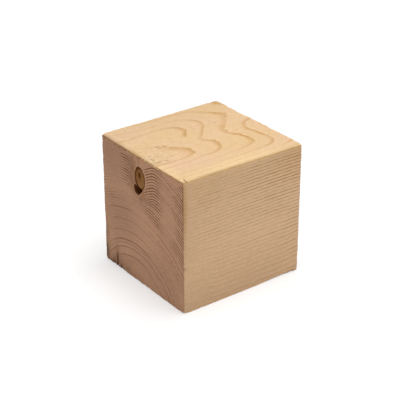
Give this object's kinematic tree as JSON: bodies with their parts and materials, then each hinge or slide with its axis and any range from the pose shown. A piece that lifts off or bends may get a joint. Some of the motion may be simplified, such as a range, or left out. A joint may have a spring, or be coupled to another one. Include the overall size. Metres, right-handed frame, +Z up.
{
  "type": "wooden cube",
  "caption": "Rough-sawn softwood cube with flat faces, worn arrises and an encased knot in one end grain face, for resting, stacking or raising things on a bench.",
  "frame": {"origin": "middle of the base", "axes": "+Z up, +X along the grain from the knotted end grain face to the plain one, -Y out of the front side grain face"},
  "size_m": [0.1, 0.096, 0.099],
  "materials": {
    "pine": "bare rough-sawn softwood, matt"
  },
  "bodies": {
    "root": {"wooden_cube": "pine"}
  },
  "joints": []
}
